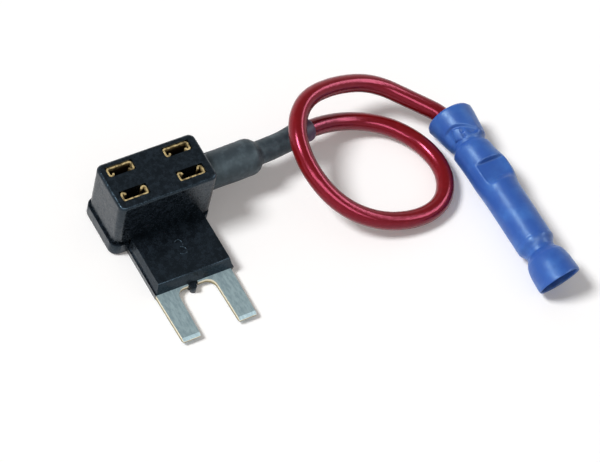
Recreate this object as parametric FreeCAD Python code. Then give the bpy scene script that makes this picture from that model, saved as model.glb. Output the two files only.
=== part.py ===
"""Tap for a mini blade fuse, with a wire tail and a closed-barrel splice.

Frame: millimetres, +Z up out of the fuse slots, +X along the wire's exit, the plug-in blades point to -Y.
The origin is on the underside of the base, under the centre of the four slots.
"""
import FreeCAD, Part
import math
import os

V = FreeCAD.Vector

# Mini blade fuse system: what the slots take and what the blades fit
pitch = 8.1
blade_x = 0.4
blade_width = 2.75
blade_thickness = 0.7
blade_length = 7.35
blade_taper = 0.15
blade_bevel_length = 0.45
blade_bevel_depth = 0.2

# Block that holds the fuses. The wall beside the outer contacts sets its width.
block_side = 1.15
block_depth = 7.5
block_x = 0.1
block_y = -0.2
block_height = 8.0
block_corner = 0.9
block_edge = 0.45
block_foot = 0.15

# Base plate under the block and the neck
base_height = 2.1
base_lip = 0.3
base_corner = 1.2
base_edge = 0.45
base_floor = 0.45
base_wall = 0.75

# Neck that carries the plug-in blades
neck_x = 0.6
neck_narrowing = 0.45
neck_length = 7.65
neck_top = 2.7
neck_side_draft = 0.35
neck_front_slant = 0.6
neck_base_ledge = 0.15
neck_edge = 0.2
nub_x = 0.25
nub_width = 1.3
nub_length = 0.95
nub_lobe = 0.4
root_fillet = 1.2
bridge_length = 0.25
web_inset = 0.45
web_landing = 1.0

# Slots and the rolled contacts in them, a little tighter than the fuse's 0.8 mm blade
slot_outer = 2.75
contact_width = 3.65
contact_sheet = 0.25
contact_gap = 0.7
contact_roll = 0.28
contact_tip = 0.05
contact_height = 6.2
contact_set_back = 0.2
pocket_clearance = 0.1
seat_clearance = 0.05

# Wire exit: boss, crimp and shrink sleeve
exit_y = 0.1
exit_z = 5.0
boss_length = 6.6
boss_diameter = 4.25
boss_edge = 0.5
bore_diameter = 2.9
crimp_diameter = 2.6
crimp_to_mouth = 2.7
crimp_start = 0.7
strand_bare = 0.1
strap_width = 1.2
sleeve_wall = 0.35
sleeve_shoulder = 1.6
sleeve_length = 17.5

# Wire
wire_diameter = 2.45
strand_diameter = 1.5

# Closed-barrel splice on the wire's far end
splice_length = 28.7
splice_body = 5.3
splice_rim = 6.1
splice_rim_wall = 0.55
splice_flare = 0.2
entry_waist = 4.8
entry_waist_at = 4.9
entry_neck = 1.4
entry_funnel = 4.4
mouth_waist = 4.3
mouth_waist_at = 23.4
mouth_neck = 1.5
mouth_bell = 2.0
throat_clearance = 0.35
barrel_start = 5.7
barrel_length = 16.0
barrel_diameter = 3.5
barrel_bore = 2.3
barrel_stop = 1.0
barrel_pinch = 1.0
crimp_mark_start = 8.2
crimp_mark_length = 3.5
crimp_mark_height = 4.1
crimp_mark_width = 5.9
crimp_mark_shift = 0.3
crimp_blend = 1.9

# How far one shape of a union reaches into the next, so that they join
union_overlap = 0.02

block_width = pitch + contact_width + 2 * block_side
neck_width = pitch + blade_width - neck_narrowing
top_z = base_height + block_height
wall_front = block_y - block_depth / 2
wall_back = block_y + block_depth / 2
wall_left = block_x - block_width / 2
wall_right = block_x + block_width / 2
neck_front = wall_front - neck_length
neck_foot = neck_front - neck_front_slant
neck_left = neck_x - neck_width / 2
neck_right = neck_x + neck_width / 2
blade_z = base_floor
blade_top = blade_z + blade_thickness
blade_tip = neck_foot - blade_length
left_blade_x = blade_x - pitch / 2
right_blade_x = blade_x + pitch / 2
web_left = left_blade_x - blade_width / 2 + web_inset
web_right = right_blade_x + blade_width / 2 - web_inset
web_mouth = wall_front + base_wall
nub_left = nub_x - nub_width / 2
nub_right = nub_x + nub_width / 2
crimp_length = boss_length - crimp_start - crimp_to_mouth
crimp_x0 = wall_right + crimp_start
wire_start_x = crimp_x0 + crimp_length + strand_bare
sleeve_end_x = wall_right + sleeve_length

# The wire runs out of the boss, sinks to the ground, makes one loop that passes over the sleeve's end
# and comes down into the splice. The last point is where its insulation stops in the splice.
splice_x = 43.9
splice_y = -3.1
splice_z = splice_rim / 2
ground = wire_diameter / 2
wire_route = [
    V(wire_start_x, exit_y, exit_z),
    V(18.1, exit_y, exit_z),
    V(25.1, 1.4, 4.2),
    V(31.3, 2.0, 2.4),
    V(36.6, 0.0, 1.3),
    V(39.6, -4.6, ground),
    V(40.1, -9.9, ground),
    V(37.6, -14.3, 1.3),
    V(32.6, -16.0, 1.6),
    V(26.9, -14.9, 3.0),
    V(22.0, -11.7, 5.4),
    V(19.1, -6.9, 8.2),
    V(19.4, -1.5, 10.3),
    V(22.9, 2.5, 10.3),
    V(29.3, 5.2, 7.0),
    V(35.3, 4.6, 5.2),
    V(40.4, 1.2, 3.8),
    V(splice_x, splice_y - 0.5, splice_z),
    V(splice_x, splice_y - barrel_start, splice_z),
]


def box(x0, x1, y0, y1, z0, z1):
    """Block between two corners."""
    return Part.makeBox(x1 - x0, y1 - y0, z1 - z0, V(x0, y0, z0))


def fused(shapes):
    """One solid from several that touch, with the seams between flush faces removed."""
    body = shapes[0].multiFuse(shapes[1:])
    return body.removeSplitter()


def rounded_outline(x0, x1, y0, y1, radius, z):
    """Closed outline of a rectangle with round corners."""
    corners = [(x1 - radius, y1 - radius, 0), (x0 + radius, y1 - radius, 90),
               (x0 + radius, y0 + radius, 180), (x1 - radius, y0 + radius, 270)]
    ends = []
    edges = []
    for cx, cy, start in corners:
        turn = [V(cx + radius * math.cos(math.radians(start + a)),
                  cy + radius * math.sin(math.radians(start + a)), z) for a in (0, 45, 90)]
        if ends:
            edges.append(Part.LineSegment(ends[-1], turn[0]).toShape())
        edges.append(Part.Arc(*turn).toShape())
        ends += [turn[0], turn[2]]
    edges.append(Part.LineSegment(ends[-1], ends[0]).toShape())
    return Part.Wire(edges)


def outline(points):
    """Closed outline through corner points."""
    return Part.makePolygon(points + [points[0]])


def prism(points, height):
    """Straight prism over a flat outline."""
    return Part.Face(outline(points)).extrude(V(0, 0, height))


def edges_at(shape, test):
    """Edges whose every point passes the test."""
    return [e for e in shape.Edges if all(test(e.valueAt(e.FirstParameter + (e.LastParameter
            - e.FirstParameter) * k / 4)) for k in range(5))]


def near(a, b):
    return abs(a - b) < 1e-4


def line(a, b):
    return Part.LineSegment(a, b).toShape()


def arc(a, b, c):
    return Part.Arc(a, b, c).toShape()


def ease(at, along_0, radius_0, along_1, radius_1):
    """Two arcs of a profile that meet half way and leave both of its ends level."""
    run = (along_1 - along_0) / 2
    rise = (radius_1 - radius_0) / 2
    bend = (run ** 2 + rise ** 2) / (2 * abs(rise))
    half_turn = math.asin(run / bend) / 2
    shift = bend * math.sin(half_turn)
    lift = math.copysign(bend * (1 - math.cos(half_turn)), rise)
    middle = at(radius_0 + rise, along_0 + run)
    return [arc(at(radius_0, along_0), at(radius_0 + lift, along_0 + shift), middle),
            arc(middle, at(radius_1 - lift, along_1 - shift), at(radius_1, along_1))]


# Rolled contact: a flat back, two sides and a half-round curl on each that leaves the blade's gap.
# Its section is drawn with the flat back on y = 0 and the curls towards +y.
def sheet_turn(cx, cy, radius, start, sweep, sheet):
    """Flat piece of a bent sheet, between the two radii of one turn."""
    inner = radius - sheet / 2
    outer = radius + sheet / 2

    def at(r, angle):
        return V(cx + r * math.cos(math.radians(angle)), cy + r * math.sin(math.radians(angle)), 0)

    middle = start + sweep / 2
    end = start + sweep
    edges = [Part.Arc(at(outer, start), at(outer, middle), at(outer, end)).toShape(),
             Part.LineSegment(at(outer, end), at(inner, end)).toShape(),
             Part.Arc(at(inner, end), at(inner, middle), at(inner, start)).toShape(),
             Part.LineSegment(at(inner, start), at(outer, start)).toShape()]
    return Part.Face(Part.Wire(edges))


def contact(x, back_y, side, z0, z1):
    """One rolled contact, side +1 has its flat back towards +Y."""
    half = contact_width / 2 - contact_sheet / 2
    foot = contact_roll
    curl_y = contact_sheet + contact_gap + contact_tip
    tip_x = half - 2 * contact_roll
    s = contact_sheet
    back = contact_sheet / 2
    faces = [Part.Face(outline([V(-half + foot, 0, 0), V(half - foot, 0, 0),
                                V(half - foot, s, 0), V(-half + foot, s, 0)]))]
    for m in (-1, 1):
        corner = -90 if m > 0 else 180
        faces.append(sheet_turn(m * (half - foot), back + foot, foot, corner, 90, s))
        x0 = m * half - s / 2
        faces.append(Part.Face(outline([V(x0, back + foot, 0), V(x0 + s, back + foot, 0),
                                        V(x0 + s, curl_y, 0), V(x0, curl_y, 0)])))
        faces.append(sheet_turn(m * (half - foot), curl_y, foot, 0, 180, s))
        x1 = m * tip_x - s / 2
        faces.append(Part.Face(outline([V(x1, curl_y - contact_tip, 0), V(x1 + s, curl_y - contact_tip, 0),
                                        V(x1 + s, curl_y, 0), V(x1, curl_y, 0)])))
    solid = fused([f.extrude(V(0, 0, z1 - z0)) for f in faces])
    if side > 0:
        solid.rotate(V(0, 0, 0), V(0, 0, 1), 180)
    solid.translate(V(x, back_y, z0))
    return solid


def contact_back(side):
    """Plane of a contact's flat back, against its slot's outer edge."""
    return side * (slot_outer - seat_clearance)


contact_depth = contact_sheet + contact_gap + contact_tip + contact_roll + contact_sheet / 2
contact_top = top_z - contact_set_back
contact_foot = contact_top - contact_height


def riser(x, side, width, z0, z1):
    """Flat strip under a contact, from the web up to the contact's foot."""
    y0 = contact_back(side)
    y1 = y0 - side * contact_sheet
    return box(x - width / 2, x + width / 2, min(y0, y1), max(y0, y1), z0, z1)


# Plug-in blades: flat, with a slight taper and a bevelled tip
def blade(x):
    half = blade_width / 2
    tip = half - blade_taper
    flat = prism([V(x - half, neck_foot, blade_z), V(x + half, neck_foot, blade_z),
                  V(x + tip, blade_tip, blade_z), V(x - tip, blade_tip, blade_z)], blade_thickness)
    side = [V(x - half, blade_tip, blade_top), V(x - half, blade_tip, blade_top - blade_bevel_depth),
            V(x - half, blade_tip + blade_bevel_length, blade_top)]
    wedge = Part.Face(outline(side)).extrude(V(blade_width, 0, 0))
    under = wedge.mirror(V(0, 0, (blade_z + blade_top) / 2), V(0, 0, 1))
    return flat.cut(wedge).cut(under)


def bridge(x, toward, nub_side):
    """Strip in front of the neck, from the nub to a blade, with a concave fillet at the blade."""
    inner = x + toward * blade_width / 2
    front = neck_foot - bridge_length
    far = inner + toward * root_fillet
    strip = box(min(inner, nub_side), max(inner, nub_side), front, neck_foot, blade_z, blade_top)
    square = box(min(inner, far), max(inner, far), front - root_fillet, front, blade_z, blade_top)
    hollow = Part.makeCylinder(root_fillet, blade_thickness, V(far, front - root_fillet, blade_z))
    return strip.fuse(square.cut(hollow))


def web(x0, x1, under_x0, under_x1, under_back):
    """Flat part of a terminal, through the neck and under the contacts of the block."""
    through = box(x0, x1, neck_foot, web_mouth, blade_z, blade_top)
    under = box(under_x0, under_x1, web_mouth, under_back, blade_z, blade_top)
    return through.fuse(under)


def contact_on_web(x, side):
    width = contact_width - 2 * contact_roll
    return riser(x, side, width, blade_top, contact_foot).fuse(
        contact(x, contact_back(side), side, contact_foot, contact_top))


def build_supply_terminal():
    """Left blade, its web and the two contacts of the left column."""
    inner = nub_left - seat_clearance
    return fused([blade(left_blade_x), bridge(left_blade_x, 1, inner),
                  web(web_left, inner, -pitch / 2 - contact_width / 2, inner, contact_back(1)),
                  contact_on_web(-pitch / 2, -1), contact_on_web(-pitch / 2, 1)])


def build_output_terminal():
    """Right blade, its web and the front contact of the right column."""
    inner = nub_right + seat_clearance
    return fused([blade(right_blade_x), bridge(right_blade_x, -1, inner),
                  web(inner, web_right, inner, pitch / 2 + contact_width / 2,
                      contact_back(-1) + web_landing),
                  contact_on_web(pitch / 2, -1)])


# The fourth contact is crimped on the tail wire. Its strap leaves the foot of the contact, crosses
# between the rows and ends in a round crimp in the boss.
strap_z = exit_z - crimp_diameter / 2
tap_foot = strap_z + 2 * contact_sheet


def build_tap_terminal():
    shelf_x0 = pitch / 2 - strap_width / 2
    shelf = box(shelf_x0, shelf_x0 + strap_width, exit_y - strap_width / 2, contact_back(1),
                strap_z, strap_z + contact_sheet)
    strap = box(shelf_x0 + strap_width, crimp_x0 + crimp_length, exit_y - strap_width / 2,
                exit_y + strap_width / 2, strap_z, strap_z + contact_sheet)
    upright = riser(pitch / 2, 1, strap_width, strap_z, tap_foot)
    along = V(1, 0, 0)
    start = V(crimp_x0, exit_y, exit_z)
    crimp = Part.makeCylinder(crimp_diameter / 2, crimp_length, start, along)
    strands = Part.makeCylinder(strand_diameter / 2, crimp_length, start, along)
    strap = strap.cut(Part.makeCylinder(crimp_diameter / 2 - union_overlap, crimp_length, start, along))
    return fused([contact(pitch / 2, contact_back(1), 1, tap_foot, contact_top), upright, shelf,
                  strap, crimp]).cut(strands)


# Upper housing: the block with its slots, the drafted upper half of the neck and the boss
def neck_shell(x0, x1, y0, y1, z0, z1, side_draft, slant):
    """Straight-backed block whose sides and front lean inwards towards its top."""
    low = outline([V(x0 - side_draft, y0 - slant, z0), V(x1 + side_draft, y0 - slant, z0),
                   V(x1 + side_draft, y1, z0), V(x0 - side_draft, y1, z0)])
    high = outline([V(x0, y0, z1), V(x1, y0, z1), V(x1, y1, z1), V(x0, y1, z1)])
    return Part.makeLoft([low, high], True, True)


def slot_cut(x, side):
    """Slot for a contact, right through from the top face to the base."""
    outer = side * slot_outer
    inner = contact_back(side) - side * (contact_depth + pocket_clearance)
    half = contact_width / 2 + pocket_clearance
    y0 = min(outer, inner)
    y1 = max(outer, inner)
    return box(x - half, x + half, y0, y1, base_height, top_z)


def build_housing_top():
    block = Part.Face(rounded_outline(wall_left, wall_right, wall_front, wall_back, block_corner,
                                      base_height)).extrude(V(0, 0, block_height))
    block = block.makeFillet(block_edge, edges_at(block, lambda p: near(p.z, top_z)))
    block = block.makeChamfer(block_foot, edges_at(block, lambda p: near(p.z, base_height)))
    neck = neck_shell(neck_left, neck_right, neck_front, web_mouth, blade_top, neck_top,
                      neck_side_draft, neck_front_slant)
    neck = neck.makeFillet(neck_edge, edges_at(neck, lambda p: near(p.z, neck_top)
                                               and p.y < wall_front))
    keep = box(wall_left, wall_right, wall_front, wall_back, 0, base_height)
    tongue = box(web_left, web_right, wall_front, web_mouth, blade_top, base_height)
    boss = Part.makeCylinder(boss_diameter / 2, boss_length + block_corner,
                             V(wall_right - block_corner, exit_y, exit_z), V(1, 0, 0))
    boss = boss.makeFillet(boss_edge, edges_at(boss, lambda p: near(p.x, wall_right + boss_length)))
    body = fused([block, neck.cut(keep), tongue, boss])
    cuts = [slot_cut(side * pitch / 2, row) for side in (-1, 1) for row in (-1, 1)]
    cuts.append(Part.makeCylinder(bore_diameter / 2, boss_length + crimp_start,
                                  V(wall_right - pocket_clearance, exit_y, exit_z), V(1, 0, 0)))
    side = strap_width / 2 + pocket_clearance
    over_strap = strap_z + contact_sheet + pocket_clearance
    cuts.append(box(pitch / 2 - side, wall_right, exit_y - side, exit_y + side, base_height, over_strap))
    cuts.append(box(pitch / 2 - side, pitch / 2 + side, exit_y, contact_back(1), base_height, over_strap))
    return body.cut(Part.makeCompound(cuts)).removeSplitter()


# Lower housing: base plate with a raised rim, and the floor of the neck with rails beside the webs
def build_housing_base():
    plate = Part.Face(rounded_outline(wall_left - base_lip, wall_right, wall_front - base_lip,
                                      wall_back + base_lip, base_corner, 0)).extrude(V(0, 0, base_height))
    plate = plate.makeFillet(base_edge, edges_at(plate, lambda p: near(p.z, 0)))
    side = neck_side_draft + neck_base_ledge
    floor = neck_shell(neck_left - side, neck_right + side, neck_foot, web_mouth, 0, blade_top,
                       -neck_base_ledge, -neck_base_ledge)
    rib = box(nub_left, nub_right, neck_foot, neck_foot + nub_length, 0, blade_top)
    lobes = [Part.makeCylinder(nub_lobe, blade_top, V(x, y, 0)) for x, y in (
        (nub_left + nub_lobe, neck_foot), (nub_right - nub_lobe, neck_foot),
        (nub_x - nub_lobe / 4, neck_foot - nub_length + nub_lobe))]
    body = fused([plate, floor, rib] + lobes)
    over_neck = box(neck_left - neck_side_draft, neck_right + neck_side_draft, neck_foot,
                    wall_front, blade_top, base_height)
    tongue_hole = box(web_left, web_right, wall_front - base_lip, web_mouth, blade_z, base_height)
    tray = box(wall_left + base_wall, wall_right - base_wall, web_mouth, wall_back - base_wall,
               base_floor, base_height)
    left_web = box(web_left, nub_left, neck_foot, web_mouth, blade_z, blade_top)
    right_web = box(nub_right, web_right, neck_foot, web_mouth, blade_z, blade_top)
    return body.cut(Part.makeCompound([over_neck, tongue_hole, tray, left_web, right_web])).removeSplitter()


# Wire, as straight runs joined by tangent arcs
def route_edges(points):
    """Edges of the wire's path. Each arc takes 0.45 of the shorter of its two runs."""
    edges = []
    here = points[0]
    for i in range(1, len(points) - 1):
        corner = points[i]
        before = (corner - points[i - 1])
        after = (points[i + 1] - corner)
        reach = 0.45 * min(before.Length, after.Length)
        before.normalize()
        after.normalize()
        half_turn = before.getAngle(after) / 2
        radius = reach / math.tan(half_turn)
        start = corner - before * reach
        end = corner + after * reach
        inward = after - before
        inward.normalize()
        middle = corner + inward * (radius / math.cos(half_turn) - radius)
        edges.append(Part.LineSegment(here, start).toShape())
        edges.append(Part.Arc(start, middle, end).toShape())
        print("bend", i, "radius %.1f mm" % radius)
        here = end
    edges.append(Part.LineSegment(here, points[-1]).toShape())
    return edges


def tube(edges, radius):
    """Round bar along a path of lines and arcs."""
    path = Part.Wire(edges)
    start = edges[0].valueAt(edges[0].FirstParameter)
    along = edges[0].tangentAt(edges[0].FirstParameter)
    ring = Part.Wire([Part.makeCircle(radius, start, along)])
    return path.makePipeShell([ring], True, True)


def path_between(edges, start, end):
    """The stretch of the path between two lengths along it."""
    kept = []
    done = 0
    for e in edges:
        low = max(start - done, 0)
        high = min(end - done, e.Length)
        if high > low:
            first = e.getParameterByLength(low)
            last = e.getParameterByLength(high)
            kept.append(e.Curve.toShape(first, last))
        done += e.Length
    return kept


def sleeve_point(radius, along):
    return V(along, radius, 0)


def build_shrink_sleeve(edges):
    """Shrunk tube: over the boss, down a rounded shoulder and tight along the wire."""
    p = sleeve_point
    thick_in = boss_diameter / 2
    thick_out = thick_in + sleeve_wall
    thin_in = wire_diameter / 2
    thin_out = thin_in + sleeve_wall
    shoulder_x = wall_right + boss_length - boss_edge
    boss_end = wall_right + boss_length
    thin_x = shoulder_x + sleeve_shoulder
    low = thick_in - boss_edge
    diagonal = boss_edge * math.sqrt(0.5)
    profile = [line(p(thick_in, wall_right), p(thick_out, wall_right)),
               line(p(thick_out, wall_right), p(thick_out, shoulder_x))]
    profile += ease(p, shoulder_x, thick_out, thin_x, thin_out)
    profile += [line(p(thin_out, thin_x), p(thin_in, thin_x)), line(p(thin_in, thin_x), p(low, boss_end)),
                arc(p(low, boss_end), p(low + diagonal, shoulder_x + diagonal), p(thick_in, shoulder_x)),
                line(p(thick_in, shoulder_x), p(thick_in, wall_right))]
    thick = Part.Face(Part.Wire(profile)).revolve(V(0, 0, 0), V(1, 0, 0), 360)
    thick.translate(V(0, exit_y, exit_z))
    kept = path_between(edges, thin_x - wire_start_x, sleeve_end_x - wire_start_x)
    thin = tube(kept, thin_out).cut(tube(kept, thin_in))
    return fused([thick, thin])


# Splice: an insulating tube flared at both ends over a metal barrel with a stop in its middle
def splice_point(radius, along):
    return V(radius, -along, 0)


def splice_revolve(edges):
    solid = Part.Face(Part.Wire(edges)).revolve(V(0, 0, 0), V(0, 1, 0), 360)
    solid.translate(V(splice_x, splice_y, splice_z))
    return solid


def splice_oval(along, width, height, shift):
    """Closed oval section of the splice."""
    centre = V(splice_x + shift, splice_y - along, splice_z)
    if near(width, height):
        return Part.Wire([Part.makeCircle(width / 2, centre, V(0, -1, 0))])
    ellipse = Part.Ellipse(centre + V(width / 2, 0, 0), centre + V(0, 0, height / 2), centre)
    return Part.Wire([ellipse.toShape()])


def build_splice_sleeve():
    """Insulation: a bell at each end, and the flat mark of the crimping jaws on the wire's side."""
    p = splice_point
    rim = splice_rim / 2
    lip = rim - splice_rim_wall
    flare = rim - splice_flare
    cone = lip - splice_flare
    body = splice_body / 2
    entry = entry_waist / 2
    mouth = mouth_waist / 2
    barrel = barrel_diameter / 2
    barrel_end = barrel_start + barrel_length
    hug = wire_diameter / 2
    throat = barrel_bore / 2 + throat_clearance
    flare_end = entry_waist_at - entry_neck
    body_start = entry_waist_at + entry_neck
    body_end = mouth_waist_at - mouth_neck
    bell = mouth_waist_at + mouth_bell
    edges = [line(p(lip, 0), p(rim, 0)), line(p(rim, 0), p(flare, flare_end))]
    edges += ease(p, flare_end, flare, entry_waist_at, entry)
    edges += ease(p, entry_waist_at, entry, body_start, body)
    edges.append(line(p(body, body_start), p(body, body_end)))
    edges += ease(p, body_end, body, mouth_waist_at, mouth)
    edges += ease(p, mouth_waist_at, mouth, bell, flare)
    corners = [p(flare, bell), p(rim, splice_length), p(lip, splice_length), p(cone, bell),
               p(throat, mouth_waist_at), p(throat, barrel_end), p(barrel, barrel_end),
               p(barrel, barrel_start), p(hug, barrel_start), p(hug, entry_funnel), p(lip, 0)]
    edges += [line(*ends) for ends in zip(corners[:-1], corners[1:])]
    tube_body = splice_revolve(edges)
    start = crimp_mark_start
    end = start + crimp_mark_length
    full = splice_body - union_overlap
    swell = Part.makeLoft([splice_oval(start - crimp_blend, full, full, 0),
                           splice_oval(start, crimp_mark_width, full, crimp_mark_shift),
                           splice_oval(end, crimp_mark_width, full, crimp_mark_shift),
                           splice_oval(end + crimp_blend, full, full, 0)], True, False)
    core = Part.makeCylinder(barrel, barrel_length, V(splice_x, splice_y - barrel_start, splice_z),
                             V(0, -1, 0))
    solid = fused([tube_body, swell.cut(core)])
    reach = splice_rim
    for side in (-1, 1):
        flat = splice_z + side * crimp_mark_height / 2
        away = flat + side * reach
        solid = solid.cut(box(splice_x - reach, splice_x + reach, splice_y - end, splice_y - start,
                              min(flat, away), max(flat, away)))
    return solid


def build_splice_barrel():
    """Metal barrel: open at both ends, a stop in its middle, pinched on the strands on the wire's side."""
    p = splice_point
    outer = barrel_diameter / 2
    bore = barrel_bore / 2
    grip = strand_diameter / 2
    end = barrel_start + barrel_length
    middle = barrel_start + barrel_length / 2
    stop = barrel_stop / 2
    corners = [p(bore, barrel_start), p(outer, barrel_start), p(outer, end), p(bore, end),
               p(bore, middle + stop), p(0, middle + stop), p(0, middle - stop), p(grip, middle - stop),
               p(grip, crimp_mark_start), p(bore, crimp_mark_start - barrel_pinch)]
    return splice_revolve([line(corners[i - 1], corners[i]) for i in range(len(corners))])


def build_conductor_end_tap():
    return Part.makeCylinder(strand_diameter / 2, wire_start_x - crimp_x0, V(crimp_x0, exit_y, exit_z),
                             V(1, 0, 0))


def build_conductor_end_splice():
    length = barrel_length / 2 - barrel_stop / 2
    return Part.makeCylinder(strand_diameter / 2, length, V(splice_x, splice_y - barrel_start, splice_z),
                             V(0, -1, 0))


wire_edges = route_edges(wire_route)
wire_length = sum(e.Length for e in wire_edges)
wire = tube(wire_edges, wire_diameter / 2)
section = math.pi * wire_diameter ** 2 / 4
print("wire length %.1f mm, volume %.2f, section x length %.2f" % (wire_length, wire.Volume,
                                                                  section * wire_length))

nodes = {
    "housing_top": build_housing_top(),
    "housing_base": build_housing_base(),
    "supply_terminal": build_supply_terminal(),
    "output_terminal": build_output_terminal(),
    "tap_terminal": build_tap_terminal(),
    "conductor_end_tap": build_conductor_end_tap(),
    "red_wire": wire,
    "shrink_sleeve": build_shrink_sleeve(wire_edges),
    "splice_sleeve": build_splice_sleeve(),
    "splice_barrel": build_splice_barrel(),
    "conductor_end_splice": build_conductor_end_splice(),
}

os.makedirs("parts", exist_ok=True)
for name, shape in nodes.items():
    print(name, shape.ShapeType, "solids", len(shape.Solids), "valid", shape.isValid(),
          "volume %.2f" % shape.Volume)
    shape.exportStep("parts/" + name + ".step")
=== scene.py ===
import math

import bpy
import numpy as np
from mathutils import Matrix, Vector


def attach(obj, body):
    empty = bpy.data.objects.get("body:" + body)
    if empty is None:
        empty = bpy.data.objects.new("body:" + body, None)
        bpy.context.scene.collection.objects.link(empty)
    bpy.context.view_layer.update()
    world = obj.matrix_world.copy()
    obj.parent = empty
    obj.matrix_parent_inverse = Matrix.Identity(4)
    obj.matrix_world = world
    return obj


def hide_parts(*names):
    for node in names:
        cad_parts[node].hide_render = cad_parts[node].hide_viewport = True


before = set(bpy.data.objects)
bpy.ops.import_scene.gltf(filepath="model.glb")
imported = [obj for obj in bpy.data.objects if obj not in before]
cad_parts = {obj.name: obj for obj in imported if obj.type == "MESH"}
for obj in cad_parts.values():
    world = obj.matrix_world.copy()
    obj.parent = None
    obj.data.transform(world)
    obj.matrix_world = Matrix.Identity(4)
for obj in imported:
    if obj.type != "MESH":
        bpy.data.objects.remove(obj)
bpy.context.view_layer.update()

# Camera
# A long lens looks down on the tap from its front left, rolled so that the wire runs up to the right.
millimetre = 0.001
camera_turn = math.radians(-43.21)
camera_rise = math.radians(54.78)
camera_roll = math.radians(17.08)
camera_place = Vector((-128.4, -165.45, 301.95)) * millimetre
camera_lens = 170

lens = bpy.data.cameras.new("camera")
lens.lens = camera_lens
lens.sensor_width = 36
lens.clip_start = 0.01
lens.clip_end = 10
camera = bpy.data.objects.new("camera", lens)
camera.location = camera_place
camera.rotation_euler = (Matrix.Rotation(camera_turn, 3, "Z")
                         @ Matrix.Rotation(math.pi / 2 - camera_rise, 3, "X")
                         @ Matrix.Rotation(camera_roll, 3, "Z")).to_euler()
bpy.context.collection.objects.link(camera)
bpy.context.scene.camera = camera
bpy.context.scene.view_settings.view_transform = "Standard"


# Wire
# Stranded copper in a crimson PVC jacket, 2.45 mm across. It leaves the block's boss, sinks to the floor,
# makes one loop that lies over the end of the shrink sleeve, and runs down into the splice.
wire_diameter = 2.45
boss_end = (13.7, 0.1, 5.0)
wire_points = [
    (11.1, 0.1, 5.0), (18.1, 0.1, 5.0), (24.8, 1.7, 4.2), (31.0, 1.8, 2.5), (36.2, -0.5, 1.6),
    (39.2, -5.1, 1.5), (39.7, -10.3, 1.5), (37.0, -14.4, 1.5), (32.3, -15.5, 1.7),
    (26.5, -14.3, 2.8), (22.0, -11.0, 4.7), (19.8, -5.9, 7.1), (20.4, -0.5, 8.7), (23.9, 3.4, 8.9),
    (29.5, 4.5, 7.8), (35.4, 3.9, 6.1), (40.0, 0.2, 4.2), (43.9, -3.6, 3.05), (43.9, -8.8, 3.05)]
jacket_red = (0.15, 0.0035, 0.003)
jacket_worn_red = (0.22, 0.008, 0.01)
jacket_gloss = (1.0, 0.2, 0.36)


class Value:
    """Output of a shader node, so that masks are written as sums."""

    def __init__(self, nodes, socket):
        self.nodes = nodes
        self.socket = socket

    def maths(self, operation, first, second=0.0):
        return self.nodes.node("ShaderNodeMath", {"operation": operation}, {0: first, 1: second})

    def __add__(self, other):
        return self.maths("ADD", self, other)

    def __rsub__(self, other):
        return self.maths("SUBTRACT", other, self)

    def __mul__(self, other):
        return self.maths("MULTIPLY", self, other)

    def __abs__(self):
        return self.maths("ABSOLUTE", self)

    def between(self, low, high):
        """0 below low, 1 above high, smooth in between."""
        return self.nodes.node("ShaderNodeMapRange", {"interpolation_type": "SMOOTHSTEP"},
                               {"Value": self, "From Min": low, "From Max": high})

    __radd__ = __add__
    __rmul__ = __mul__


class Nodes:
    """Node tree of a material or of the world."""

    def __init__(self, owner):
        owner.use_nodes = True
        self.tree = owner.node_tree

    def plug(self, socket, value):
        if isinstance(value, Value):
            self.tree.links.new(value.socket, socket)
        elif socket.type == "RGBA":
            socket.default_value = (*value, 1)
        else:
            socket.default_value = value

    def node(self, kind, settings=None, inputs=None, output=0):
        """A node of that type, its settings first and then the values or links of its sockets."""
        made = self.tree.nodes.new(kind)
        for name, value in (settings or {}).items():
            setattr(made, name, value)
        for name, value in (inputs or {}).items():
            self.plug(made.inputs[name], value)
        return Value(self, made.outputs[output])


class Finish(Nodes):
    """Material of one piece. Its constants go on the shader itself."""

    def __init__(self, name, constants):
        self.material = bpy.data.materials.new(name)
        super().__init__(self.material)
        self.shader = self.tree.nodes["Principled BSDF"]
        for socket, value in constants.items():
            self.put(socket, value)

    def put(self, socket, value):
        self.plug(self.shader.inputs[socket], value)

    def place(self, stretch=(1, 1, 1)):
        """Where a point is in the part's frame, in millimetres, times a stretch."""
        at = self.node("ShaderNodeTexCoord", output="Object")
        size = tuple(s / millimetre for s in stretch)
        return self.node("ShaderNodeVectorMath", {"operation": "MULTIPLY"}, {0: at, 1: size})

    def axis(self, index):
        return self.node("ShaderNodeSeparateXYZ", inputs={0: self.place()}, output=index)

    def facing(self, index):
        normal = self.node("ShaderNodeNewGeometry", output="Normal")
        return self.node("ShaderNodeSeparateXYZ", inputs={0: normal}, output=index)

    def noise(self, per_mm, detail=3, roughness=0.5, stretch=(1, 1, 1)):
        return self.node("ShaderNodeTexNoise", {}, {"Vector": self.place(stretch), "Scale": per_mm,
                                                    "Detail": detail, "Roughness": roughness})

    def mix(self, mask, first, second):
        """Colour that goes from first to second as the mask goes from 0 to 1."""
        return self.node("ShaderNodeMix", {"data_type": "RGBA"}, {0: mask, 6: first, 7: second}, 2)

    def bump(self, height, depth):
        distance = depth * millimetre
        self.put("Normal", self.node("ShaderNodeBump", {}, {"Height": height, "Distance": distance}))

    def dress(self, thing):
        thing.data.materials.clear()
        thing.data.materials.append(self.material)


def metres(point):
    return tuple(c * millimetre for c in point)


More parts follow.
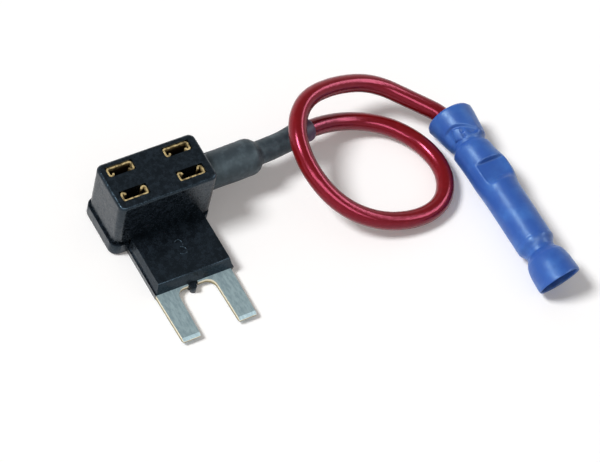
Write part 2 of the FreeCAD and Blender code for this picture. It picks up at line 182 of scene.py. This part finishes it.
wire_curve = bpy.data.curves.new("red_wire_jacket", "CURVE")
wire_curve.dimensions = "3D"
wire_curve.resolution_u = 24
spline = wire_curve.splines.new("NURBS")
spline.points.add(len(wire_points) - 1)
for control, point in zip(spline.points, wire_points):
    control.co = (*metres(point), 1)
spline.order_u = 3
spline.use_endpoint_u = True
wire = bpy.data.objects.new("red_wire_jacket", wire_curve)
bpy.context.collection.objects.link(wire)
bpy.context.view_layer.update()
wire_line = bpy.data.meshes.new_from_object(wire.evaluated_get(bpy.context.evaluated_depsgraph_get()))
wire_path = np.array([v.co for v in wire_line.vertices]) / millimetre
wire_curve.bevel_depth = wire_diameter / 2 * millimetre
wire_curve.bevel_resolution = 12
wire_curve.use_fill_caps = True

jacket = Finish("wire_pvc", {"Specular IOR Level": 0.95, "Specular Tint": jacket_gloss})
scuff = jacket.noise(1.1, 4).between(0.45, 0.8)
jacket.put("Base Color", jacket.mix(scuff * 0.6, jacket_red, jacket_worn_red))
jacket.put("Roughness", 0.14 + jacket.noise(1.5, 4) * 0.14)
jacket.bump(jacket.noise(1.2, 3) + jacket.noise(7.0) * 0.12, 0.02)
jacket.dress(wire)
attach(wire, "root")
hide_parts("red_wire")


# Shrink sleeve
# Black polyolefin tube, slipped over the boss and the wire and shrunk with hot air. It is thick over the
# boss, falls over a rounded shoulder and lies tight on the wire as far as its cut end.
sleeve_start = 7.1
sleeve_profile = [(0, 2.5), (0.6, 2.475), (6.2, 2.46), (7.2, 2.5), (7.6, 2.43), (8.0, 2.24), (8.35, 1.94),
                  (8.6, 1.71), (8.9, 1.6), (9.6, 1.575), (16.8, 1.585), (17.3, 1.57), (17.5, 1.5)]
sleeve_inside = 1.25
sleeve_wall = 0.3
sleeve_oval = 0.018
sleeve_bulge = 0.012
# Where the painted reflection of the red wire starts on the sleeve, in millimetres along x.
painted_reflection_from = (21.3, 22.5)
inner_step = 8
sleeve_black = (0.02, 0.028, 0.036)
sleeve_grey = (0.05, 0.068, 0.082)
# Purple for the sleeve's far end: a painted reflection of the red wire lying beside it.
sleeve_painted_reflection = (0.11, 0.032, 0.095)


def turned(name, rings):
    """Mesh whose rings of points are skinned in order, and the last of them onto the first."""
    size = len(rings[0])
    points = [metres(point) for ring in rings for point in ring]
    faces = []
    for i in range(len(rings)):
        this_ring = i * size
        next_ring = (i + 1) % len(rings) * size
        faces += [(this_ring + j, next_ring + j, next_ring + (j + 1) % size, this_ring + (j + 1) % size)
                  for j in range(size)]
    mesh = bpy.data.meshes.new(name)
    mesh.from_pydata(points, [], faces)
    mesh.validate()
    mesh.shade_smooth()
    thing = bpy.data.objects.new(name, mesh)
    bpy.context.collection.objects.link(thing)
    return thing


def smooth_profile(pairs, step, reach):
    """Even stations along a profile of (place, size) pairs, with its corners eased over a reach."""
    along = np.arange(pairs[0][0], pairs[-1][0] + step / 2, step)
    size = np.interp(along, *zip(*pairs))
    count = max(1, int(reach / step))
    padded = np.concatenate([np.full(count, size[0]), size, np.full(count, size[-1])])
    window = np.hanning(2 * count + 1)
    return along, np.convolve(padded, window / window.sum(), "valid")


def path_frames(path, along):
    """Points, and two crossing directions, at the given lengths along a line of points."""
    lengths = np.concatenate([[0], np.cumsum(np.linalg.norm(np.diff(path, axis=0), axis=1))])
    centres = np.array([np.interp(along, lengths, path[:, i]) for i in range(3)]).T
    ways = np.gradient(centres, axis=0)
    ways /= np.linalg.norm(ways, axis=1)[:, None]
    across = np.cross([0, 0, 1], ways)
    across /= np.linalg.norm(across, axis=1)[:, None]
    return centres, across, np.cross(ways, across)


def ring_around(centre, side, up, radius):
    """Ring of the sleeve at one station. The radius may differ from one turn to the next."""
    return (centre + np.outer(np.cos(sleeve_turns) * radius, side)
            + np.outer(np.sin(sleeve_turns) * radius, up))


sleeve_along, sleeve_radii = smooth_profile(sleeve_profile, 0.1, 0.15)
sleeve_path = np.vstack([[(sleeve_start, *wire_points[0][1:])], wire_path])
stations = list(zip(*path_frames(sleeve_path, sleeve_along)))
sleeve_turns = np.linspace(0, 2 * math.pi, 72, endpoint=False)
sleeve_rings = []
for station, along, radius in zip(stations, sleeve_along, sleeve_radii):
    oval = sleeve_oval * np.sin(2 * sleeve_turns + along * 1.3)
    bulge = sleeve_bulge * np.sin(3 * sleeve_turns - along * 0.8)
    sleeve_rings.append(ring_around(*station, radius + oval + bulge))
for k in range(len(stations) - 1, -1, -inner_step):
    sleeve_rings.append(ring_around(*stations[k], max(sleeve_inside, sleeve_radii[k] - sleeve_wall)))
sleeve = turned("heat_shrink_sleeve", sleeve_rings)

shrink = Finish("shrink_polyolefin", {"Specular IOR Level": 0.5, "Specular Tint": (0.72, 0.92, 1.0)})
black = shrink.mix(shrink.noise(0.9, 5).between(0.4, 0.75), sleeve_black, sleeve_grey)
# The far end of the sleeve is mixed towards purple in patches: a painted reflection of the red wire over it.
painted_reflection = shrink.axis(0).between(*painted_reflection_from) * shrink.noise(1.5, 4).between(0.1, 0.5)
shrink.put("Base Color", shrink.mix(painted_reflection, black, sleeve_painted_reflection))
shrink.put("Roughness", 0.4 + shrink.noise(2.5) * 0.2)
shrink.bump(shrink.noise(1.3, 5) + shrink.noise(7.0) * 0.2, 0.05)
shrink.dress(sleeve)
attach(sleeve, "root")
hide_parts("shrink_sleeve")


# Splice insulation
# Blue nylon tube over a tinned barrel, belled at both ends so that a wire finds its way in. The wire's
# side has been squeezed by a crimping tool, which left two flats and pushed the tube out sideways.
splice_x = 43.9
splice_y = -3.1
splice_z = 3.05
splice_mouth = [(22.6, 2.62), (22.85, 2.48), (23.3, 2.2), (23.7, 2.06), (24.15, 2.08), (24.6, 2.42),
                (25.1, 2.7), (25.6, 2.83), (26.4, 2.95), (27.8, 3.03), (28.4, 3.05), (28.7, 2.98)]
splice_left = [(0.5, 3.0), (0.8, 3.09), (1.9, 2.84), (3.5, 2.6), (4.7, 2.38), (5.15, 2.14), (5.5, 2.08),
               (5.75, 2.3), (6.1, 2.6), (6.8, 2.62)] + splice_mouth
splice_right = [(0.5, 3.3), (0.8, 3.47), (1.5, 3.43), (2.8, 3.25), (4.4, 3.04), (5.1, 2.88), (5.5, 2.5),
                (5.75, 2.3), (6.0, 2.4), (6.4, 2.62), (7.0, 2.68)] + splice_mouth
splice_inside = [(28.6, 2.68), (28.3, 2.62), (26.4, 2.4), (23.6, 1.7), (21.9, 1.5), (21.8, 1.76),
                 (5.8, 1.76), (5.6, 1.25), (4.6, 1.25), (0.9, 2.5), (0.5, 2.7)]
splice_lean = [(0, -0.3), (5, -0.05), (9.5, 0.3), (16, 0.28), (28.7, 0.22)]
squeezed_side = math.radians(66)
crimp_flat = ((9.28, 9.65), (12.0, 13.2))
crimp_tilt = math.radians(-1)
crimp_top = 1.82
crimp_under = 2.05
crimp_swell = ((7.2, 10.2), (11.3, 14.1))
swell_left = 0.14
swell_right = 0.5
jaw_side = math.radians(-24)
bay_depth = 0.34
bay_edge = 2.95
bay_bend = 0.16
bay_middle = -0.9
bay_width = ((-2.2, -1.5), (1.9, 2.5))
bay_end = (4.9, 5.4)
edge_ease = 0.35
bay_pads = [((-0.55, 4.3), (0.55, 0.7), 20, 0.3), ((0.75, 5.0), (0.3, 0.6), -25, 0.26)]
pad_ease = 0.18
ridge_turn = 0.45
ridge_width = 0.1
ridge_height = 0.06
ridge_reach = ((2.6, 3.4), (5.0, 5.4))
ripple_height = 0.011
ripple_rate = 13
ripple_reach = ((21.4, 22.2), (24.2, 24.8))
mouth_slant = (0.216, -0.1056)
mouth_reach = (25.5, 28.7)
inner_steps = 4
splice_blue = (0.026, 0.092, 0.38)
splice_pale = (0.07, 0.23, 0.62)


def step_up(x, low, high):
    """0 below low, 1 above high, smooth in between."""
    t = np.clip((x - low) / (high - low), 0, 1)
    return t * t * (3 - 2 * t)


def window(x, rise, fall):
    """1 from the end of the rise to the start of the fall, and 0 outside the two."""
    return step_up(x, *rise) - step_up(x, *fall)


def dented(along, radius):
    """Depth left by the jaws on top of the flare: a shallow bay with a curved edge and two raised pads."""
    right = radius * np.sin(splice_turns - jaw_side)
    edge = bay_edge + bay_bend * (right - bay_middle) ** 2
    bay = step_up(along, edge, edge + edge_ease) * window(right, *bay_width)
    bay = bay * (1 - step_up(along, *bay_end)) * (np.cos(splice_turns - jaw_side) > 0)
    depth = -bay_depth * bay
    for (pad_right, pad_along), (half_right, half_along), aslant, rise in bay_pads:
        swing = math.radians(aslant)
        u = abs((right - pad_right) * math.cos(swing) + (along - pad_along) * math.sin(swing))
        v = abs((along - pad_along) * math.cos(swing) - (right - pad_right) * math.sin(swing))
        beside = step_up(u, half_right, half_right + pad_ease)
        past = step_up(v, half_along, half_along + pad_ease)
        depth = depth + bay * rise * (1 - beside) * (1 - past)
    return depth


def splice_ring(along, radius_left, radius_right, outside):
    """Ring of the splice at one station. Its outside carries all marks of the crimping tool."""
    sideways = np.sin(splice_turns)
    toward = 0.5 + 0.5 * np.cos(splice_turns - squeezed_side)
    radius = radius_left + (radius_right - radius_left) * toward
    if outside:
        bulge = swell_right * np.clip(sideways, 0, 1) ** 2 + swell_left * np.clip(-sideways, 0, 1) ** 2
        ridge = ridge_height * np.exp(-((splice_turns - ridge_turn) / ridge_width) ** 2)
        ripple = ripple_height * np.sin(along * ripple_rate)
        radius = radius + bulge * window(along, *crimp_swell)
        radius = radius + dented(along, radius)
        radius = radius + ridge * window(along, *ridge_reach) + ripple * window(along, *ripple_reach)
    side = radius * sideways
    high = radius * np.cos(splice_turns)
    if outside:
        above = np.clip(high * math.cos(crimp_tilt) + side * math.sin(crimp_tilt) - crimp_top, 0, None)
        below = np.clip(-crimp_under - high, 0, None)
        high = high - (above - below) * window(along, *crimp_flat)
    high = np.maximum(high, -splice_z)
    slant = (mouth_slant[0] * high + mouth_slant[1] * side) * step_up(along, *mouth_reach)
    lean = np.interp(along, *zip(*splice_lean))
    return np.stack([splice_x + lean + side, splice_y - along - slant, splice_z + high], 1)


splice_turns = np.linspace(-math.pi, math.pi, 104, endpoint=False)
splice_along, left_radii = smooth_profile(splice_left, 0.1, 0.12)
right_radii = smooth_profile(splice_right, 0.1, 0.12)[1]
splice_rings = [splice_ring(*station, True) for station in zip(splice_along, left_radii, right_radii)]
for (along, radius), (next_along, next_radius) in zip(splice_inside[:-1], splice_inside[1:]):
    for t in np.linspace(0, 1, inner_steps, endpoint=False):
        between = radius + (next_radius - radius) * t
        splice_rings.append(splice_ring(along + (next_along - along) * t, between, between, False))
splice_rings.append(splice_ring(*splice_inside[-1], splice_inside[-1][1], False))
splice = turned("splice_insulation", splice_rings)

nylon = Finish("splice_nylon", {
    "Subsurface Weight": 0.2, "Subsurface Radius": (0.3, 0.6, 1.0), "Subsurface Scale": 0.6 * millimetre,
    "Specular IOR Level": 0.55, "Specular Tint": (0.6, 0.85, 1.0),
    "Sheen Weight": 0.25, "Sheen Roughness": 0.3, "Sheen Tint": (0.3, 0.65, 1.0)})
cloud = nylon.noise(0.4, 4).between(0.4, 0.75)
nylon.put("Base Color", nylon.mix(cloud * 0.35, splice_blue, splice_pale))
nylon.put("Roughness", 0.3 + nylon.noise(2.0) * 0.16)
nylon.bump(nylon.noise(0.8, 4) + nylon.noise(5.0) * 0.12, 0.045)
nylon.dress(splice)
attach(splice, "root")
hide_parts("splice_sleeve")


# Splice barrel and strands
# Tinned copper barrel inside the blue tube, seen in its open mouth, and the bare strands in both crimps.
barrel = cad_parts["splice_barrel"]
tin = Finish("barrel_tin", {"Metallic": 1.0})
tin.put("Base Color", tin.mix(tin.noise(1.5), (0.5, 0.5, 0.48), (0.66, 0.65, 0.62)))
tin.put("Roughness", 0.3 + tin.noise(3.0) * 0.2)
tin.dress(barrel)
strands = Finish("copper_strands", {"Metallic": 1.0, "Roughness": 0.35})
strands.put("Base Color", strands.mix(strands.noise(2.0), (0.62, 0.28, 0.14), (0.8, 0.42, 0.24)))
for name in ("conductor_end_tap", "conductor_end_splice"):
    strands.dress(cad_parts[name])

metres(boss_end)


# Housing
# Two glass-filled nylon mouldings, welded along the groove above the base. The upper one is the block with
# the slots and the flat neck, with one raised figure from the mould. The lower one is the plate under both.
housing_black = (0.0035, 0.0045, 0.006)
housing_grey = (0.0095, 0.013, 0.018)
edge_round = 0.09
moulded = Finish("housing_nylon", {"Specular IOR Level": 0.42, "Specular Tint": (0.5, 0.76, 1.0)})
mottle = moulded.noise(1.3, 6, 0.7).between(0.38, 0.68)
moulded.put("Base Color", moulded.mix(mottle, housing_black, housing_grey))
moulded.put("Roughness", 0.2 + mottle * 0.16)
moulded.bump(moulded.noise(4.0, 4) * 0.5 + moulded.noise(0.8, 3) * 1.5, 0.035)
for name in ("housing_top", "housing_base"):
    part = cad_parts[name]
    moulded.dress(part)
    weld = part.modifiers.new("weld", "WELD")
    weld.merge_threshold = 0.002 * millimetre
    bevel = part.modifiers.new("edges", "BEVEL")
    bevel.width = edge_round * millimetre
    bevel.segments = 2
    bevel.limit_method = "ANGLE"
    bevel.angle_limit = math.radians(35)
    bevel.harden_normals = True

figure_place = (0.65, -7.6, 2.7)
figure_height = 2.3
figure_width = 1.15
figure_stroke = 0.24
figure_tip = 2.6
upper_bowl = 0.9
bowl_points = 14
figure_curve = bpy.data.curves.new("mould_figure", "CURVE")
figure_curve.dimensions = "3D"
figure_curve.bevel_depth = figure_stroke / 2 * millimetre
figure_curve.bevel_resolution = 2
figure_curve.use_fill_caps = True
upper_turns = np.linspace(figure_tip, -math.pi / 2, bowl_points)
line = [(upper_bowl * math.cos(a), math.sin(a) + 1) for a in upper_turns]
line += [(math.cos(a), math.sin(a) - 1) for a in np.linspace(math.pi / 2, -figure_tip, bowl_points)]
stroke = figure_curve.splines.new("POLY")
stroke.points.add(len(line) - 1)
for control, (right, rise) in zip(stroke.points, line):
    across = figure_place[0] + right * figure_width / 2
    along = figure_place[1] + rise * figure_height / 4
    control.co = (*metres((across, along, figure_place[2])), 1)
figure = bpy.data.objects.new("mould_figure", figure_curve)
bpy.context.collection.objects.link(figure)
moulded.dress(figure)
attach(figure, "root")


# Terminals
# Stamped from tin-plated brass strip: each is one piece from the blade, through the neck, to the rolled
# contacts in the slots. The plating is worn off the contacts and missing on the sheared edges.
plate_grey = (0.27, 0.37, 0.41)
plate_light = (0.41, 0.54, 0.57)
brass_cream = (0.8, 0.75, 0.6)
brass_olive = (0.26, 0.22, 0.11)
break_height = 0.78
contact_foot = (1.6, 2.2)
rim_height = (9.2, 9.85)
contact_gold = (0.85, 0.66, 0.32)
# Near black of the contacts below their gold rims: painted shade deep in the slots, and also the colour of
# the worn patches on the rims.
contact_wear_and_painted_shade = (0.05, 0.03, 0.012)
plated = Finish("tinned_brass", {"Metallic": 0.7})
blotch = plated.noise(2.0, 5, 0.65, (1.6, 0.5, 1)).between(0.3, 0.7)
plating = plated.mix(blotch, plate_grey, plate_light)
sheared = 1 - abs(plated.facing(2)).between(0.5, 0.9)
edge = plated.mix(plated.axis(2).between(break_height - 0.06, break_height + 0.06), brass_olive, brass_cream)
inside = plated.axis(2).between(*contact_foot)
worn = plated.noise(1.6, 5, 0.6).between(0.42, 0.6)
# Gold only at the rims; lower down the contacts take the painted shade colour of the slot interiors.
rim = plated.axis(2).between(*rim_height) * (1 - worn * 0.75)
contact = plated.mix(rim, contact_wear_and_painted_shade, contact_gold)
plated.put("Base Color", plated.mix(inside, plated.mix(sheared, plating, edge), contact))
plated.put("Roughness", 0.36 + plated.noise(5.0) * 0.16)
plated.bump(plated.noise(3.0, 5, 0.6, (1.6, 0.4, 1)) + plated.noise(0.8) * 0.5, 0.015)
for name in ("supply_terminal", "output_terminal", "tap_terminal"):
    plated.dress(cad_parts[name])


# Floor and lamps
# White sheet under the part. A distant soft lamp at the left throws short shadows to the right, and a pale
# sky fills them in. Reflections see that sky brighter near the horizon, and two soft boxes that draw the
# streaks along the wire and light nothing else.
floor_size = 3.0
floor_white = (0.9, 0.9, 0.9)
sky_colour = (1.0, 0.985, 0.965)
sky_level = 0.3
horizon_level = 1.0
horizon_height = (0.2, 0.65)
sun_level = 2.75
sun_spread = math.radians(16)
sun_place = (-0.72, 0.24, 1.0)
shadow_lift = (0.135, 0.125, 0.12)
soft_boxes = {"right_box": (-17, 41, (700, 220), 4), "front_box": (-115, 50, (1200, 300), 9)}
soft_box_distance = 1000
floor_mesh = bpy.data.meshes.new("floor")
half = floor_size / 2
corners = [(-half, -half, 0), (half, -half, 0), (half, half, 0), (-half, half, 0)]
floor_mesh.from_pydata(corners, [], [(0, 1, 2, 3)])
floor = bpy.data.objects.new("floor", floor_mesh)
bpy.context.collection.objects.link(floor)
sheet = Finish("floor_white", {"Base Color": floor_white, "Roughness": 0.9, "Specular IOR Level": 0.1})
seen = sheet.node("ShaderNodeLightPath", output="Is Camera Ray")
for ray in ("Is Glossy Ray", "Is Transmission Ray"):
    seen = seen.maths("MAXIMUM", seen, sheet.node("ShaderNodeLightPath", output=ray))
plain = Value(sheet, sheet.shader.outputs[0])
glow = sheet.node("ShaderNodeEmission", {}, {"Color": shadow_lift, "Strength": 1.0})
lifted = sheet.node("ShaderNodeAddShader", {}, {0: plain, 1: glow})
shown = sheet.node("ShaderNodeMixShader", {}, {0: seen, 1: plain, 2: lifted})
sheet.plug(sheet.tree.nodes["Material Output"].inputs["Surface"], shown)
sheet.dress(floor)

world = bpy.data.worlds.new("studio")
bpy.context.scene.world = world
sky = Nodes(world)
background = sky.tree.nodes["Background"].inputs
direction = sky.node("ShaderNodeTexCoord", output="Generated")
height = sky.node("ShaderNodeSeparateXYZ", {}, {0: direction}, 2)
mirrored = horizon_level + height.between(*horizon_height) * (sky_level - horizon_level)
by_mirror = sky.node("ShaderNodeLightPath", output="Is Glossy Ray")
level = sky.node("ShaderNodeMix", {}, {0: by_mirror, 2: sky_level, 3: mirrored})
by_lens = sky.node("ShaderNodeLightPath", output="Is Camera Ray")
sky.plug(background["Color"], sky_colour)
sky.plug(background["Strength"], sky.node("ShaderNodeMix", {}, {0: by_lens, 2: level, 3: 1.0}))

sun_lamp = bpy.data.lights.new("key_light", "SUN")
sun_lamp.energy = sun_level
sun_lamp.angle = sun_spread
sun = bpy.data.objects.new("key_light", sun_lamp)
sun.rotation_euler = (-Vector(sun_place)).to_track_quat("-Z", "Y").to_euler()
bpy.context.collection.objects.link(sun)

for name, (turn, rise, size, power) in soft_boxes.items():
    box_lamp = bpy.data.lights.new(name, "AREA")
    box_lamp.shape = "RECTANGLE"
    box_lamp.size, box_lamp.size_y = metres(size)
    box_lamp.energy = power
    soft_box = bpy.data.objects.new(name, box_lamp)
    toward_part = (Matrix.Rotation(math.radians(turn + 90), 3, "Z")
                   @ Matrix.Rotation(math.radians(90 - rise), 3, "X"))
    soft_box.rotation_euler = toward_part.to_euler()
    soft_box.location = toward_part @ Vector((0, 0, soft_box_distance * millimetre))
    soft_box.visible_diffuse = False
    bpy.context.collection.objects.link(soft_box)
